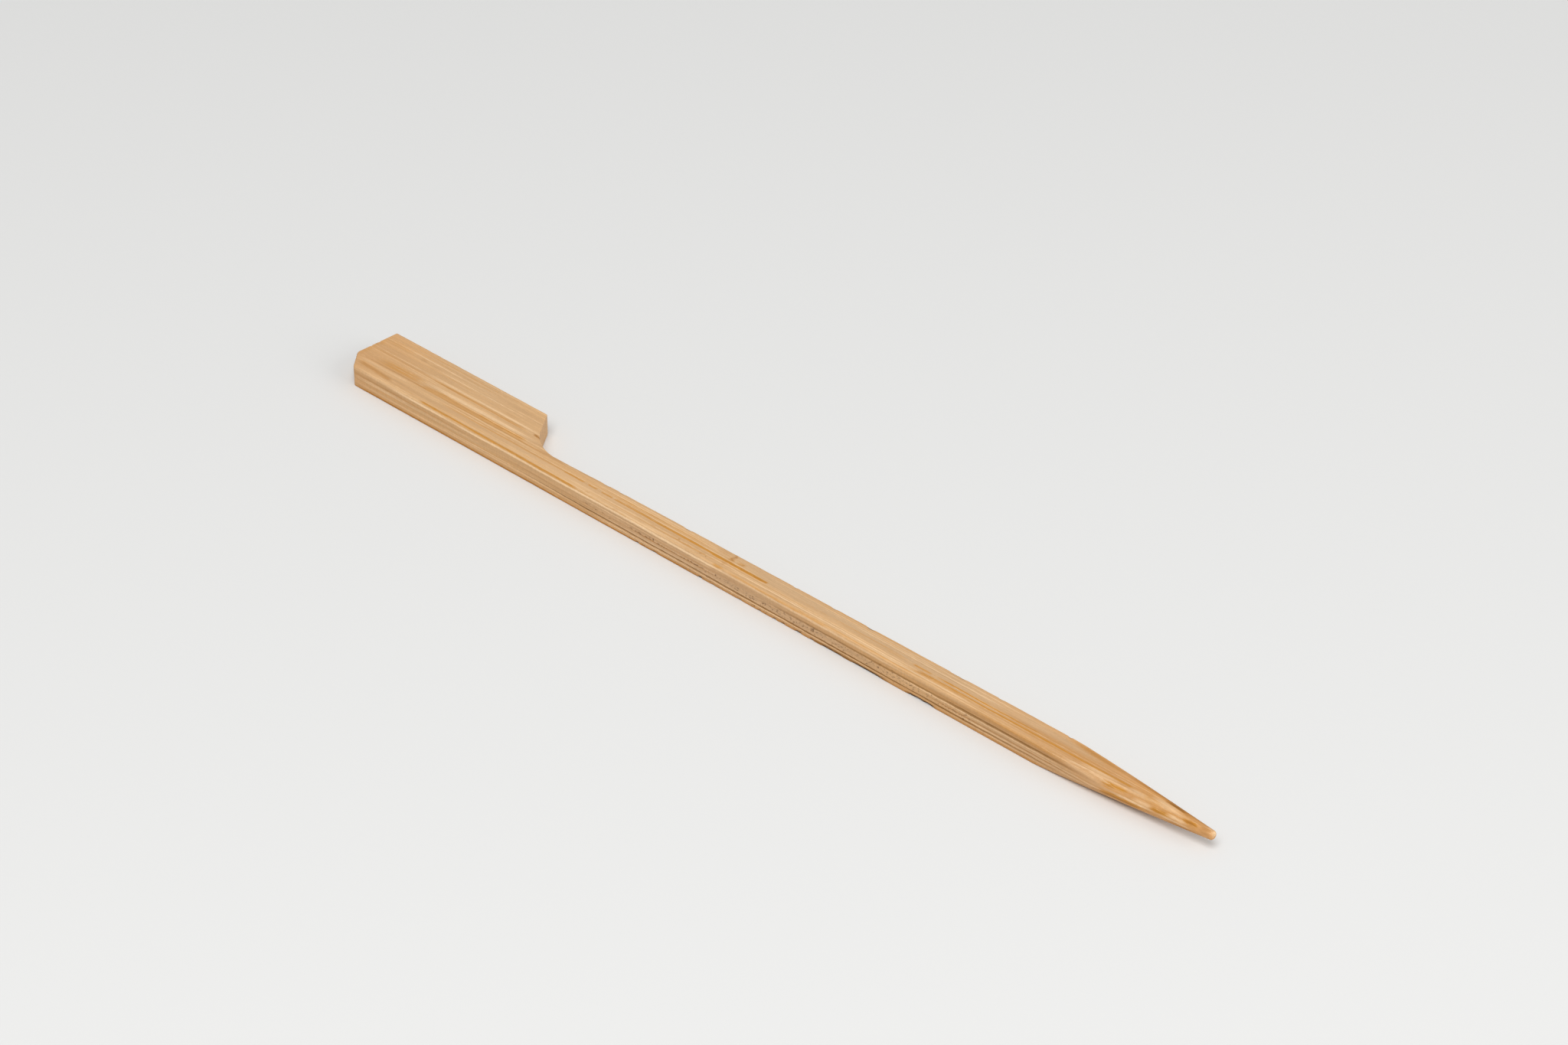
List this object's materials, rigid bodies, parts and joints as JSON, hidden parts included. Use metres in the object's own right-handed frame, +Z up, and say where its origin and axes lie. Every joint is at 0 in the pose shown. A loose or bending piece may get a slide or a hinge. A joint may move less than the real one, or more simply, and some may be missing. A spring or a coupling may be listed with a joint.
{
  "type": "cocktail pick",
  "caption": "Flat bamboo paddle pick: a wide flat grip with a chamfered corner, a curved shoulder, and a slim shaft that ends in a round blunt point.",
  "frame": {"origin": "centre of the footprint, on the flat face that the pick lies on", "axes": "+X along the pick towards its point, +Y across the flat face towards the side that the paddle stands out on, +Z up through the strip"},
  "size_m": [0.12, 0.0078, 0.0025],
  "materials": {
    "bamboo": "planed, unvarnished"
  },
  "bodies": {
    "root": {"bamboo_pick": "bamboo"}
  },
  "joints": []
}
